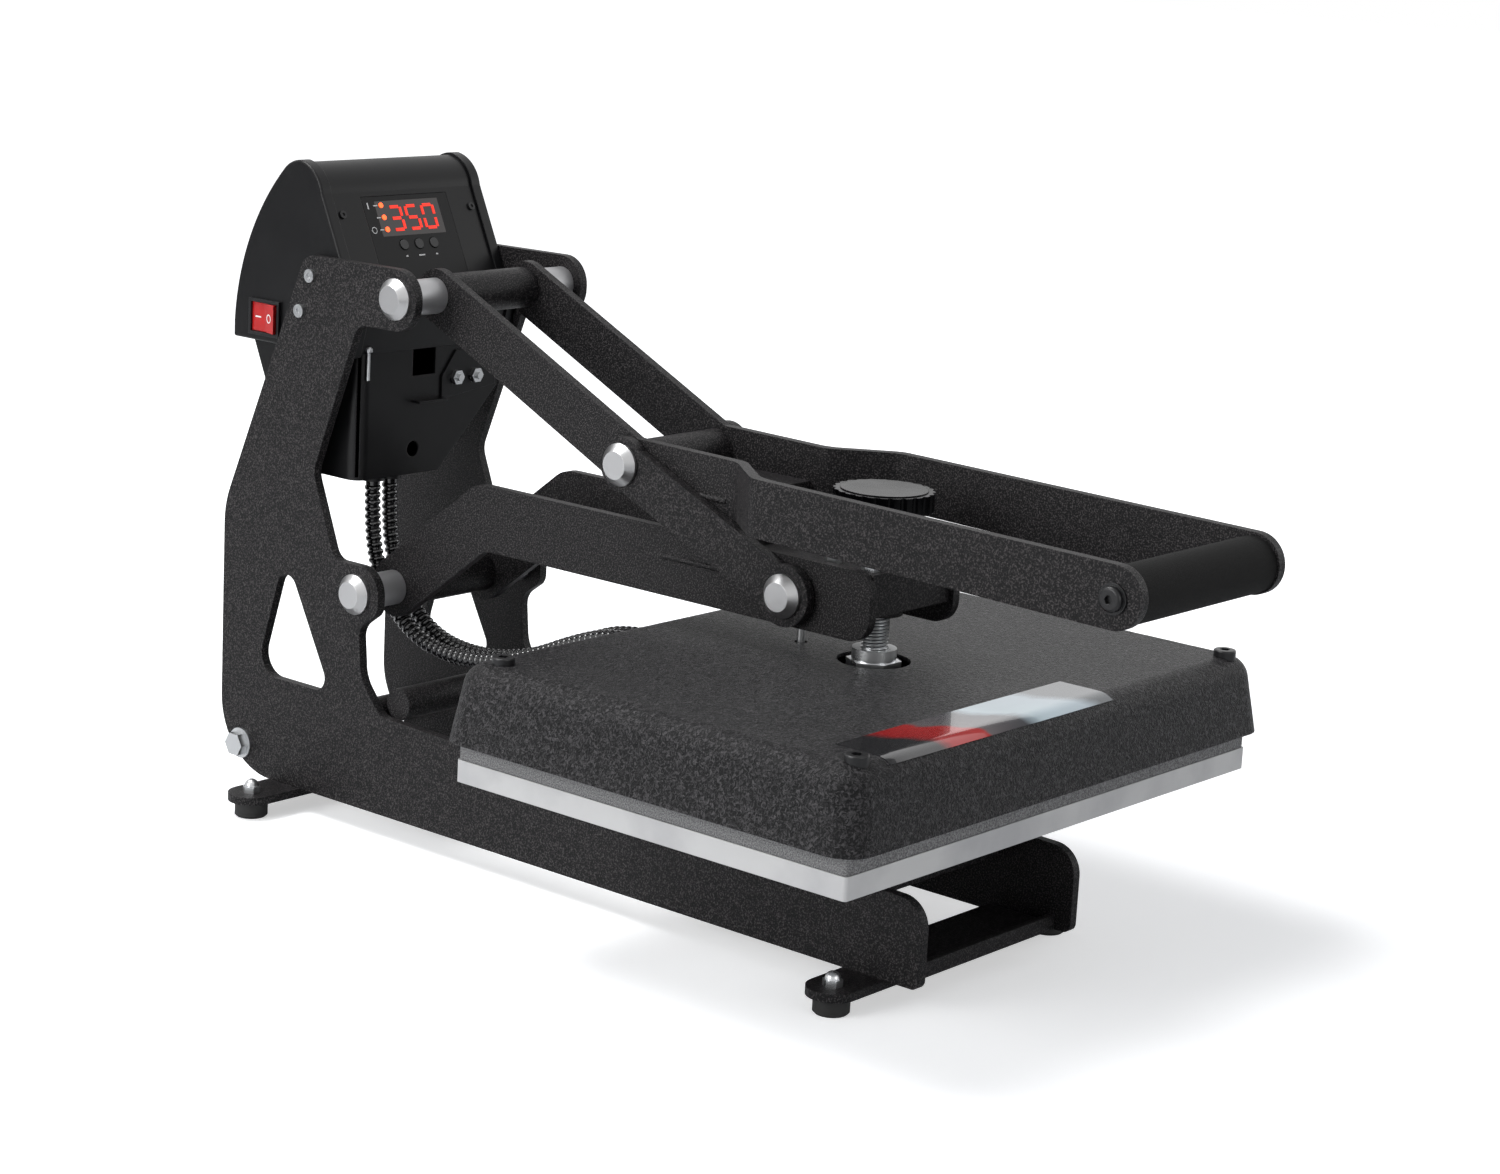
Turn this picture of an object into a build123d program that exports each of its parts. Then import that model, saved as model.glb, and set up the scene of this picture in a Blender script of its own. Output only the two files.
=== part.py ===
from build123d import *
import math
import os

# A clamshell heat press: a flat lower platen on a twin-plate frame, and a heated upper platen
# on a swinging arm that a toggle handle pushes down.
# Millimetres. X is the width, -Y the operator's side with the grip, +Z up, feet on Z = 0.
# While it is built, Y is counted from the front edge of the lower platen.
# The finished pieces are moved so that the origin is the middle of the footprint.

# Lower platen and pad
platen_width = 381.0
platen_depth = 279.4
platen_base = 101.0
platen_thick = 13.0
pad_thick = 11.0
press_gap = 0.2
support_width = 30.0
support_height = 51.0
support_wall = 4.0
support_front = 88.0
support_rear = 200.0

# Heated head
head_inset = 1.0
heat_platen_thick = 16.0
heat_platen_corner = 8.0
insulation_thick = 3.5
insulation_inset = 8.0
cover_overhang = 8.5
cover_height = 45.0
cover_taper = 7.0
cover_edge_round = 14.0
cover_corner_round = 18.0
cover_wall = 2.0
cover_screw_side = 15.5
cover_screw_front = 10.0
cover_screw_back = 18.4
cover_screw_head = 6.6
cover_screw_rise = 4.2
cover_screw_key = 3.2
cover_post_radius = 5.0
cover_hole = 21.5

# Side plates and what ties them
plate_thick = 6.0
plate_gap = 139.2
plate_base = 15.5
plate_front = 34.0
plate_rear = 611.0
rail_top_front = 66.0
rail_top_rear = 79.0
upright_top = 359.5
tie_radius = 10.0
tie_spots = [(591.0, 34.0), (452.0, 88.0)]
bolt_head = 9.0
cross_plate_thick = 4.0
cross_plate_front = 45.0
cross_plate_back = 92.0
cross_plate_lip = 9.0

# Feet
foot_front = 72.0
foot_rear = 549.0
foot_reach = 118.0
foot_bar_width = 30.0
foot_bar_thick = 5.0
foot_x = 103.0
foot_radius = 10.5
foot_bolt = 3.0

# Pivots of the linkage, as Y and Z: frame top, frame lower, handle knee and arm front
top_pivot = (458.0, 342.0)
arm_pivot = (487.0, 153.0)
knee_pivot = (293.0, 264.0)
front_pivot = (166.0, 209.0)
axle_radius = 8.0
pin_radius = 7.0
running_fit = 0.1
side_play = 0.3
tube_radius = 12.8
cap_radius = 12.8
cap_height = 6.2
cap_chamfer = 4.4
spacer_radius = 11.0

# Handle, links and arm plates
bar_thick = 6.0
bar_gap = 72.0
bar_half = 16.5
grip_gap = 128.0
grip_front = -68.0
grip_height = 255.0
grip_radius = 16.0
grip_end_radius = 17.5
jog_rear = 208.0
jog_front = 174.0
handle_top_rear = 279.5
handle_top_front = 272.7
handle_under_rear = 247.0
link_gap = 1.0
link_half = 14.25
link_front_radius = 18.0
arm_front = 109.0
arm_under = 190.3
arm_top = 231.0
arm_pivot_radius = 19.0
arm_slope = 38.0
gusset_thick = 6.0

# Pressure adjuster
screw_y = 136.0
screw_radius = 8.0
screw_clearance = 0.1
screw_top = 262.0
boss_radius = 15.0
nut_across = 28.0
nut_height = 10.0
collar_radius = 13.0
collar_height = 7.0
boss_height = 16.0
adjust_travel = 7.0
channel_front = 112.0
channel_rear = 200.0
channel_wall = 5.0
channel_drop = 25.0
channel_top = 229.0
guide_pin_y = 190.0
guide_pin_radius = 2.4
guide_pin_top = 238.0
knob_radius = 29.0
knob_height = 17.0
knob_base = 253.0
knob_disc_radius = 25.2
knob_lobes = 24

# Control housing
cap_thick = 8.0
cap_proud = 1.5
shell_wall = 2.0
face_top = (534.0, 397.0)
face_down = (-0.428, -0.904)
face_length = 83.0
housing_crown = (541.0, 409.3)
housing_top = (553.0, 415.0)
housing_turn = (561.5, 413.0)
housing_shoulder = (568.0, 408.0)
housing_back = (611.0, 309.0)
housing_bulge = (598.5, 362.0)
housing_base = 300.0
panel_top = 3.5
panel_half = 37.0
panel_length = 72.0
panel_gap = 0.25
window_left = -27.0
window_right = 28.0
window_top = 6.5
window_bottom = 30.0
window_deep = 1.2
digit_width = 11.5
digit_tall = 17.0
digit_stroke = 2.0
digit_rise = 0.3
digit_left = -17.0
digit_pitch = 14.2
digit_down = 18.4
lamp_x = -22.0
lamp_radius = 1.7
lamp_down = [9.4, 17.4, 25.4]
button_x = [-11.5, 1.5, 14.5]
button_down = 36.0
button_radius = 3.3
button_hole = 3.7
button_travel = 0.8
panel_screw_x = 56.0
panel_screw_down = 14.0
switch_spot = (582.0, 314.0)
switch_width = 28.0
switch_height = 23.0
switch_rim = 2.0
switch_deep = 16.0
rocker_tilt = 8.0
plate_screw_spots = [(534.0, 347.0), (543.0, 324.0)]
inlet_width = 30.0
inlet_height = 23.0
inlet_depth = 5.0
inlet_up = 322.0

# Lower box under the housing, and the two corrugated hoses to the heated head
box_half = 61.0
box_front = 504.0
box_base = 220.0
box_wall = 2.0
box_belly = 548.0
box_bulge = (584.0, 258.0)
box_rear = 603.0
box_front_round = 9.0
box_cut_x = 10.0
box_cut_z = 271.0
latch_left = -15.0
latch_right = 5.0
latch_low = 283.0
latch_high = 303.0
cable_hole_x = -13.0
cable_hole_z = 236.0
cable_hole_radius = 5.0
bracket_left = 10.0
bracket_fold = 22.0
bracket_right = 58.0
bracket_low = 266.0
bracket_high = 297.0
bracket_step = 6.0
bracket_thick = 1.5
bracket_nut_z = 279.5
hose_outer = 5.2
hose_inner = 3.4
hose_valley = 4.2
hose_pitch = 5.2
hose_x = [-27.0, -12.0]
hose_exit = 525.0
hose_reach = 5.4
hose_end_z = 154.0
hose_low = 113.0
gland_radius = 7.0
gland_height = 6.0

press_plane = platen_base + platen_thick + pad_thick
cover_screw_x = platen_width / 2 - cover_screw_side
cover_screw_rear = platen_depth - cover_screw_back
hose_end = platen_depth - hose_reach
grip_tip = grip_front - grip_end_radius
inlet_rear = plate_rear + inlet_depth - 1.0
middle_y = (grip_tip + inlet_rear) / 2
plate_inner = plate_gap / 2
plate_outer = plate_inner + plate_thick
bar_inner = bar_gap / 2
bar_outer = bar_inner + bar_thick
link_inner = bar_outer + link_gap
link_outer = link_inner + bar_thick
grip_inner = grip_gap / 2
grip_outer = grip_inner + bar_thick


def save(solids, name):
    """Move the pieces to the footprint's middle and write one STEP file."""
    group = [Pos(0, -middle_y, 0) * solid for solid in solids]
    shape = group[0] if len(group) == 1 else Compound(children=group)
    shape.label = name
    export_step(shape, os.path.join("parts", name + ".step"))


def outline(corners):
    """A side-view face from (y, z, radius) corners."""
    points = [(y, z) for y, z, radius in corners]
    radii = [radius for y, z, radius in corners]
    return make_face(FilletPolyline(*points, radius=radii, close=True))


def from_side(face, x_low, x_high):
    """Extrude a side-view face between two X values."""
    return extrude(Plane.YZ.offset(x_low) * face, amount=x_high - x_low)


def mirrored(solid):
    return mirror(solid, about=Plane.YZ)


def both_sides(solid):
    return [solid, mirrored(solid)]


def x_rod(spot, radius, x_low, x_high):
    """A round bar along X at a (y, z) spot."""
    plane = Plane(origin=(x_low, spot[0], spot[1]), x_dir=(0, 1, 0), z_dir=(1, 0, 0))
    return extrude(plane * Circle(radius), amount=x_high - x_low)


def z_rod(x, y, radius, z_low, z_high):
    return Pos(x, y, z_low) * extrude(Circle(radius), amount=z_high - z_low)


def block(x_low, x_high, y_low, y_high, z_low, z_high):
    size = (x_high - x_low, y_high - y_low, z_high - z_low)
    spot = (x_low, y_low, z_low)
    return Pos(*spot) * Box(*size, align=(Align.MIN, Align.MIN, Align.MIN))


def x_tube(spot, outer, inner, x_low, x_high):
    return x_rod(spot, outer, x_low, x_high) - x_rod(spot, inner, x_low - 1, x_high + 1)


def end_cap(spot, x_seat, side):
    """A turned, chamfered cap that stands on the face at x_seat."""
    disc = x_rod(spot, cap_radius, 0, cap_height)
    rim = disc.edges().filter_by(GeomType.CIRCLE).sort_by(Axis.X)[-1]
    disc = chamfer(rim, cap_chamfer)
    cap = Pos(x_seat, 0, 0) * disc
    return cap if side > 0 else mirrored(cap)


# Frame

def side_plate_face():
    """One laser-cut plate: long low rail, upright, two ears and a teardrop window."""
    ear = 18.5
    corners = [
        (plate_front, plate_base, 5),
        (plate_rear, plate_base, 48),
        (plate_rear, 190, 60),
        (540, upright_top, 12),
        (top_pivot[0] - ear + 1.5, upright_top + 1, ear - 0.6),
        (top_pivot[0] - ear + 1.5, top_pivot[1] - ear - 1, ear - 0.6),
        (491, top_pivot[1] - ear - 1.5, 10),
        (528, 224, 14),
        (507, arm_pivot[1] + 18.5, 10),
        (arm_pivot[0] - 20.5, arm_pivot[1] + 18.5, 17),
        (arm_pivot[0] - 20.5, arm_pivot[1] - 9, 9),
        (483, 132, 12),
        (480, 100, 22),
        (462, rail_top_rear, 12),
        (plate_front, rail_top_front, 17),
    ]
    window = [(552.5, 168, 9), (578, 84, 15), (507, 84, 9)]
    return outline(corners) - outline(window)


def side_plate():
    plate = from_side(side_plate_face(), plate_inner, plate_outer)
    for spot in (top_pivot, arm_pivot):
        plate -= x_rod(spot, axle_radius, plate_inner - 1, plate_outer + 1)
    return plate


def foot_bar(y):
    bar = SlotOverall(2 * foot_reach, foot_bar_width)
    low = plate_base - foot_bar_thick
    solid = Pos(0, y, low) * extrude(bar, amount=foot_bar_thick)
    for side in (-1, 1):
        solid -= z_rod(side * foot_x, y, foot_bolt, low - 1, plate_base + 1)
    return solid


def foot_spots():
    return [(side * foot_x, y) for y in (foot_front, foot_rear) for side in (-1, 1)]


def rubber_foot(x, y):
    top = plate_base - foot_bar_thick
    foot = z_rod(x, y, foot_radius, 0, top)
    foot = chamfer(foot.edges().sort_by(Axis.Z)[0], 1.2)
    return foot - z_rod(x, y, foot_bolt, top - 6, top + 1)


def foot_fastener(x, y):
    """A threaded shank with a domed cap nut over the bar."""
    nut_flat = 10.0
    shank = z_rod(x, y, foot_bolt, plate_base - foot_bar_thick - 6, plate_base)
    hexagon = RegularPolygon(nut_flat / 2, 6, major_radius=False)
    nut = Pos(x, y, plate_base) * extrude(hexagon, amount=4)
    dome = Pos(x, y, plate_base + 4) * Sphere(nut_flat / 2 - 0.4)
    dome -= block(x - 9, x + 9, y - 9, y + 9, plate_base - 9, plate_base + 4)
    return shank + nut + dome


def front_cross_plate():
    low = plate_base
    wide = plate_inner
    flat = block(-wide, wide, cross_plate_front, cross_plate_back, low, low + cross_plate_thick)
    lip_back = cross_plate_front + cross_plate_thick
    lip = block(-wide, wide, cross_plate_front, lip_back, low, low + cross_plate_lip)
    return flat + lip


def tie_tube(spot):
    return x_rod(spot, tie_radius, -plate_inner, plate_inner)


def tie_bolt(spot):
    """Hexagon head and washer on the outside of a side plate."""
    washer = x_rod(spot, bolt_head + 1, plate_outer, plate_outer + 1.5)
    plane = Plane(origin=(plate_outer + 1.5, spot[0], spot[1]), x_dir=(0, 1, 0), z_dir=(1, 0, 0))
    head = extrude(plane * RegularPolygon(bolt_head - 1, 6), amount=5.5)
    return washer + head


def platen_support(y):
    """An inverted channel between the plates that carries the lower platen."""
    low = platen_base - support_height
    outer = block(-plate_inner, plate_inner, y, y + support_width, low, platen_base)
    inner_low = y + support_wall
    inner_high = y + support_width - support_wall
    top = platen_base - support_wall
    return outer - block(-plate_inner - 1, plate_inner + 1, inner_low, inner_high, low - 1, top)


def platen_layer(low, thick, inset, corner):
    face = RectangleRounded(platen_width - 2 * inset, platen_depth - 2 * inset, corner)
    return Pos(0, platen_depth / 2, low) * extrude(face, amount=thick)


# Axles

def axle(spot):
    return x_rod(spot, axle_radius, -plate_outer, plate_outer)


def axle_spacer(spot):
    """A bright sleeve that keeps the moving bar off the side plate."""
    return x_tube(spot, spacer_radius, axle_radius, bar_outer + side_play, plate_inner)


# Control housing

def face_plane():
    """Front face of the housing: local X is the width, local Y runs up the slope."""
    origin = (0, face_top[0], face_top[1])
    return Plane(origin=origin, x_dir=(1, 0, 0), z_dir=(0, face_down[1], -face_down[0]))


def on_face(shape_face, out_low, out_high):
    """Extrude a face drawn on the housing's front, between two heights over it."""
    plane = face_plane().offset(out_low)
    return extrude(plane * shape_face, amount=out_high - out_low)


def housing_face(grow):
    """Side-view outline of the housing: sloped front, round top, curved back."""
    low_front = (face_top[0] + face_down[0] * face_length, face_top[1] + face_down[1] * face_length)
    front = Line(low_front, face_top)
    crown = ThreePointArc(face_top, housing_crown, housing_top)
    shoulder = ThreePointArc(housing_top, housing_turn, housing_shoulder)
    back = ThreePointArc(housing_shoulder, housing_bulge, housing_back)
    tail = Line(housing_back, (housing_back[0], housing_base))
    base = Line((housing_back[0], housing_base), (box_front, housing_base))
    close = Line((box_front, housing_base), low_front)
    face = make_face(front + crown + shoulder + back + tail + base + close)
    return offset(face, amount=grow) if grow else face


def panel_cutout(grow):
    width = 2 * (panel_half + grow)
    tall = panel_length + 2 * grow
    return Pos(0, -panel_top - panel_length / 2) * Rectangle(width, tall)


def housing_shell():
    inner = plate_inner - side_play - cap_thick
    shell = from_side(housing_face(0), -inner, inner)
    shell -= from_side(housing_face(-shell_wall), -inner - 1, inner + 1)
    shell -= on_face(panel_cutout(panel_gap), -shell_wall - 1, 1)
    inlet = block(-inlet_width / 2 + 2, inlet_width / 2 - 2, plate_rear - 9, plate_rear + 1,
                  inlet_up - inlet_height / 2 + 2, inlet_up + inlet_height / 2 - 2)
    return shell - inlet


def housing_cap():
    """One end cap: a moulded side cheek with a rounded rim."""
    outer = plate_inner - side_play
    cap = from_side(housing_face(cap_proud), outer - cap_thick, outer)
    rim = cap.faces().sort_by(Axis.X)[-1].edges()
    return fillet(rim, 1.4)


def switch_cheek():
    """The left cheek, with the hole that the switch's case goes through."""
    case = Rectangle(switch_width - 2, switch_height - 2)
    return mirrored(housing_cap()) - on_left_cheek(case, -cap_thick - 1, 1)


def display_panel():
    plate = on_face(panel_cutout(0), -shell_wall, 0)
    flange = on_face(panel_cutout(3), -2 * shell_wall, -shell_wall)
    panel = plate + flange
    panel -= on_face(window_face(0), -window_deep, 1)
    for x in button_x:
        panel -= on_face(Pos(x, -button_down) * Circle(button_hole), -9, 1)
    return panel


def window_face(shrink):
    width = window_right - window_left - 2 * shrink
    tall = window_bottom - window_top - 2 * shrink
    middle = ((window_left + window_right) / 2, -(window_top + window_bottom) / 2)
    return Pos(*middle) * Rectangle(width, tall)


def segment_bars(lit):
    """Seven-segment strokes of one digit, as lit letters a to g, centred on the origin."""
    half_w = digit_width / 2 - digit_stroke / 2
    half_t = digit_tall / 4
    long = digit_tall / 2 - digit_stroke - 0.6
    wide = digit_width - 2 * digit_stroke - 0.4
    flat = Rectangle(wide, digit_stroke)
    tall = Rectangle(digit_stroke, long)
    top = digit_tall / 2 - digit_stroke / 2
    places = {
        "a": Pos(0, top) * flat,
        "b": Pos(half_w, half_t) * tall,
        "c": Pos(half_w, -half_t) * tall,
        "d": Pos(0, -top) * flat,
        "e": Pos(-half_w, -half_t) * tall,
        "f": Pos(-half_w, half_t) * tall,
        "g": flat,
    }
    return [places[letter] for letter in lit]


def display_digits():
    """A plain temperature reading of three digits."""
    solids = []
    for place, lit in enumerate(("abgcd", "afgcd", "abcdef")):
        spot = Pos(digit_left + place * digit_pitch + digit_width / 2, -digit_down)
        for bar in segment_bars(lit):
            solids.append(on_face(spot * bar, 0, digit_rise))
    return solids


def indicator_lamp(down):
    return on_face(Pos(lamp_x, -down) * Circle(lamp_radius), 0, 0.5)


def button(x):
    """A push button: cap in its hole and a flange behind the panel."""
    stem = on_face(Pos(x, -button_down) * Circle(button_radius), -2 * shell_wall - 0.3, 0.6)
    back = -2 * shell_wall - 0.3
    flange = on_face(Pos(x, -button_down) * Circle(button_hole + 0.9), back - 1, back)
    return stem + flange


def controller_board():
    """The circuit board behind the panel on four posts, with its relay and transformer."""
    back = -2 * shell_wall
    deep = back - 8
    board = Pos(0, -panel_top - panel_length / 2) * Rectangle(70, 60)
    solid = on_face(board, deep - 1.6, deep)
    for x in (-31, 31):
        for down in (14, 64):
            solid += on_face(Pos(x, -down) * Circle(2.2), deep, back)
    solid += on_face(Pos(-14, -52) * Rectangle(28, 24), deep - 24, deep - 1.6)
    solid += on_face(Pos(20, -50) * Rectangle(16, 20), deep - 17, deep - 1.6)
    return solid


def panel_screw(x):
    screw = on_face(Pos(x, -panel_screw_down) * Circle(2.6), 0, 1.2)
    return screw - on_face(Pos(x, -panel_screw_down) * Circle(1.1), 0.5, 2)


def switch_opening(grow):
    return Rectangle(switch_width - 2 * switch_rim + 2 * grow, switch_height - 2 * switch_rim + 2 * grow)


def on_left_cheek(face, out_low, out_high):
    """Extrude a face drawn on the left cheek at the switch, outwards along -X."""
    origin = (-(plate_inner - side_play) - out_low, switch_spot[0], switch_spot[1])
    plane = Plane(origin=origin, x_dir=(0, -1, 0), z_dir=(-1, 0, 0))
    return extrude(plane * face, amount=out_high - out_low)


def switch_bezel():
    outside = Rectangle(switch_width, switch_height)
    inside = switch_opening(0)
    body = Rectangle(switch_width - 2, switch_height - 2)
    rim = on_left_cheek(outside - inside, 0, 2.2)
    case = on_left_cheek(body, -switch_deep, 0) - on_left_cheek(inside, -switch_deep + 2, 1)
    return rim + case


def power_rocker():
    """The red rocker, pressed at its rear end in the on position."""
    long = switch_width - 2 * switch_rim - 0.8
    tall = switch_height - 2 * switch_rim - 0.8
    half = long / 2
    rise = half * math.tan(math.radians(rocker_tilt))
    shape = Polyline((-half, 2.4), (0, 2.4 - rise), (half, 2.4), (half - 1.6, -3), (0, -6),
                     (-half + 1.6, -3), close=True)
    plane = Plane(origin=(0, 0, 0), x_dir=(0, 1, 0), z_dir=(0, 0, 1))
    solid = extrude(plane * make_face(shape), amount=tall / 2, both=True)
    solid = Rot(0, 0, -rocker_tilt) * solid
    return Pos(-(plate_inner - side_play), switch_spot[0], switch_spot[1]) * solid


def plate_screw(spot):
    head = x_rod(spot, 4.2, plate_outer, plate_outer + 2.2)
    return head - x_rod(spot, 1.8, plate_outer + 1, plate_outer + 3)


def power_inlet():
    """The mains socket for a detachable lead, in the housing's back."""
    low = inlet_up - inlet_height / 2
    high = inlet_up + inlet_height / 2
    rear = plate_rear
    flange = block(-inlet_width / 2, inlet_width / 2, rear - 6, inlet_rear, low, high)
    flange -= from_side(housing_face(0), -inlet_width, inlet_width)
    neck = block(-inlet_width / 2 + 2.2, inlet_width / 2 - 2.2, rear - 20, rear + 1, low + 2.2, high - 2.2)
    hole = block(-inlet_width / 2 + 4.5, inlet_width / 2 - 4.5, rear - 17, rear + 9, low + 4.5, high - 4.5)
    solid = flange + neck - hole
    for x, z in ((0, 2.5), (-5, -2), (5, -2)):
        solid += block(x - 1, x + 1, rear - 17.5, rear - 7, inlet_up + z - 2, inlet_up + z + 2)
    return solid


# Lower box

def box_face(grow):
    """Side-view outline of the box: upright front, curved back."""
    corners = [
        (box_front - grow, box_base - grow, 0),
        (box_belly + grow, box_base - grow, 10),
        (box_bulge[0] + grow, box_bulge[1], 30),
        (box_rear + grow, housing_base, 0),
        (box_front - grow, housing_base, 0),
    ]
    return outline(corners)


def box_cut(shrink):
    """The slanted corner on the far lower side."""
    far = box_half + 20
    slope = (box_cut_z - box_base) / (box_half - box_cut_x)
    low = box_base - 10
    start = box_cut_x - 10 / slope - shrink
    high = low + (far - start) * slope
    face = make_face(Polyline((start, low), (far, low), (far, high), close=True))
    plane = Plane(origin=(0, box_rear + 20, 0), x_dir=(1, 0, 0), z_dir=(0, -1, 0))
    return extrude(plane * face, amount=box_rear - box_front + 40)


def lower_box():
    shell = from_side(box_face(0), -box_half, box_half)
    corner = shell.edges().filter_by(Axis.Z).group_by(Axis.Y)[0].sort_by(Axis.X)[0]
    shell = fillet(corner, box_front_round) - box_cut(0)
    hollow = from_side(box_face(-box_wall), -box_half + box_wall, box_half - box_wall)
    shell -= hollow - box_cut(box_wall + 1)
    for x in hose_x:
        shell -= z_rod(x, hose_exit, hose_outer + 0.1, box_base - 9, box_base + 9)
    wall_back = box_front + box_wall + 1
    shell -= block(latch_left, latch_right, box_front - 5, wall_back, latch_low, latch_high)
    plane = Plane(origin=(cable_hole_x, wall_back, cable_hole_z), x_dir=(1, 0, 0), z_dir=(0, -1, 0))
    shell -= extrude(plane * Circle(cable_hole_radius), amount=box_wall + 6)
    return shell


def box_bracket():
    """A folded tab plate on the front of the lower box."""
    corners = [
        (bracket_left, bracket_low),
        (bracket_right, bracket_low + bracket_step),
        (bracket_right, bracket_high),
        (bracket_fold, bracket_high),
        (bracket_left, bracket_low + 2.5 * bracket_step),
    ]
    face = make_face(Polyline(*corners, close=True))
    plane = Plane(origin=(0, box_front, 0), x_dir=(1, 0, 0), z_dir=(0, -1, 0))
    tab = extrude(plane * face, amount=bracket_thick)
    shelf_top = bracket_low + bracket_thick
    return tab + block(latch_left, bracket_left, box_front - 7, box_front, bracket_low, shelf_top)


def bracket_nut(x):
    front = box_front - bracket_thick
    plane = Plane(origin=(x, front, bracket_nut_z), x_dir=(1, 0, 0), z_dir=(0, -1, 0))
    nut = extrude(plane * RegularPolygon(5, 6), amount=3.2)
    return nut + extrude(plane * Circle(2.3), amount=5.5)


def hose_gland(x):
    low = box_base - gland_height
    ring = z_rod(x, hose_exit, gland_radius, low, box_base)
    return ring - z_rod(x, hose_exit, hose_outer + 0.1, low - 1, box_base + 1)


def hose_route(x):
    """Route of one hose, down out of the box, round under the arm axle and to the head."""
    yz = [
        (hose_exit, box_base),
        (hose_exit, 187),
        (519, 158),
        (502, 133),
        (476, 117),
        (444, hose_low),
        (410, 117),
        (376, 128),
        (344, 143),
        (312, hose_end_z),
        (hose_end, hose_end_z),
    ]
    return [Vector(x, y, z) for y, z in yz]


def hose_path(x):
    points = hose_route(x)
    radii = []
    for before, here, after in zip(points, points[1:], points[2:]):
        run_in = here - before
        run_out = after - here
        half_turn = math.radians(run_in.get_angle(run_out)) / 2
        radii.append(0.45 * min(run_in.length, run_out.length) / math.tan(half_turn))
    print("hose arcs", [round(radius, 1) for radius in radii])
    return FilletPolyline(*points, radius=radii)


def hose_ring(path, distance, radius):
    """A circle square to the path, with the same X axis all the way."""
    share = distance / path.length
    plane = Plane(origin=path.position_at(share), x_dir=(1, 0, 0), z_dir=path.tangent_at(share))
    return plane * Circle(radius)


def heater_hose(x):
    """A corrugated hose: ribs in one ruled loft, with its bore."""
    path = hose_path(x)
    straight = 2 * hose_outer
    count = int((path.length - 2 * straight) / hose_pitch)
    pitch = (path.length - 2 * straight) / count
    rings = [hose_ring(path, 0, hose_valley)]
    for rib in range(count):
        start = straight + rib * pitch
        for share, radius in ((0.05, hose_valley), (0.25, hose_outer), (0.6, hose_outer), (0.8, hose_valley)):
            rings.append(hose_ring(path, start + share * pitch, radius))
    rings.append(hose_ring(path, path.length, hose_valley))
    skin = loft(rings, ruled=True)
    bore = sweep(hose_ring(path, 0, hose_inner), path=path)
    print("hose", x, "length", round(path.length, 1), "ribs", count)
    return skin - bore


# Swinging arm

def arm_face():
    """Side view of an arm plate: level bar, bent down to the rear pivot."""
    slope = math.radians(arm_slope)
    along = (math.cos(slope), -math.sin(slope))
    across = (math.sin(slope), math.cos(slope))
    r = arm_pivot_radius
    top_end = (arm_pivot[0] + r * (along[0] + across[0]), arm_pivot[1] + r * (along[1] + across[1]))
    low_end = (arm_pivot[0] + r * (along[0] - across[0]), arm_pivot[1] + r * (along[1] - across[1]))
    top_bend = top_end[0] - (arm_top - top_end[1]) / math.tan(slope)
    low_bend = low_end[0] - (arm_under - low_end[1]) / math.tan(slope)
    corners = [
        (arm_front, arm_under, 14),
        (low_bend, arm_under, 14),
        (low_end[0], low_end[1], r - 0.01),
        (top_end[0], top_end[1], r - 0.01),
        (top_bend, arm_top, 22),
        (arm_front, arm_top, 14),
    ]
    return outline(corners)


def arm_plate():
    plate = from_side(arm_face(), bar_inner, bar_outer)
    plate -= x_rod(arm_pivot, axle_radius + running_fit, bar_inner - 1, bar_outer + 1)
    return plate


def arm_gusset():
    """Cross plate whose tabs show as the welds on the arm's sides."""
    return block(-bar_inner, bar_inner, 218, 265, 210.5, 210.5 + gusset_thick)


def arm_tubes():
    rear = x_tube(arm_pivot, tube_radius, axle_radius + running_fit, -bar_inner, bar_inner)
    front = x_tube(front_pivot, tube_radius, pin_radius, -bar_inner, bar_inner)
    return [rear, front]


def front_channel():
    """Folded cross piece at the arm's front with the threaded block for the screw."""
    wall_low = channel_top - channel_drop
    top_low = channel_top - channel_wall
    top = block(-bar_inner, bar_inner, channel_front, channel_rear, top_low, channel_top)
    wall = block(-bar_inner, bar_inner, channel_front, channel_front + channel_wall, wall_low, top_low)
    nut_block = z_rod(0, screw_y, boss_radius, wall_low - 6, top_low)
    solid = top + wall + nut_block
    solid -= z_rod(0, screw_y, screw_radius + screw_clearance, wall_low - 9, channel_top + 9)
    solid -= z_rod(0, guide_pin_y, guide_pin_radius + screw_clearance, top_low - 1, channel_top + 1)
    return solid


def channel_nut(x, y):
    hexagon = RegularPolygon(5.2, 6)
    return Pos(x, y, channel_top) * extrude(hexagon, amount=4.5) + z_rod(x, y, 2.4, channel_top, channel_top + 7)


# Heated head

def head_base():
    return press_plane + press_gap


def cover_body(inset, height, rounding, corner):
    """The tapered hood as a solid, from its lower rim up."""
    wide = platen_width + 2 * (cover_overhang - inset)
    deep = platen_depth + 2 * (cover_overhang - inset)
    low = Pos(0, platen_depth / 2, head_base()) * RectangleRounded(wide, deep, corner)
    narrow = 2 * cover_taper * height / cover_height
    face = RectangleRounded(wide - narrow, deep - narrow, corner - 1)
    high = Pos(0, platen_depth / 2, head_base() + height) * face
    body = loft([low, high], ruled=True)
    return fillet(body.faces().sort_by(Axis.Z)[-1].edges(), rounding)


def cover_solid():
    return cover_body(0, cover_height, cover_edge_round, cover_corner_round)


def hose_slot():
    low = hose_end_z - hose_outer - adjust_travel - 1
    high = hose_end_z + hose_outer + 1
    x_low = min(hose_x) - hose_outer - 1
    x_high = max(hose_x) + hose_outer + 1
    return block(x_low, x_high, platen_depth - 20, platen_depth + 20, low, high)


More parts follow.
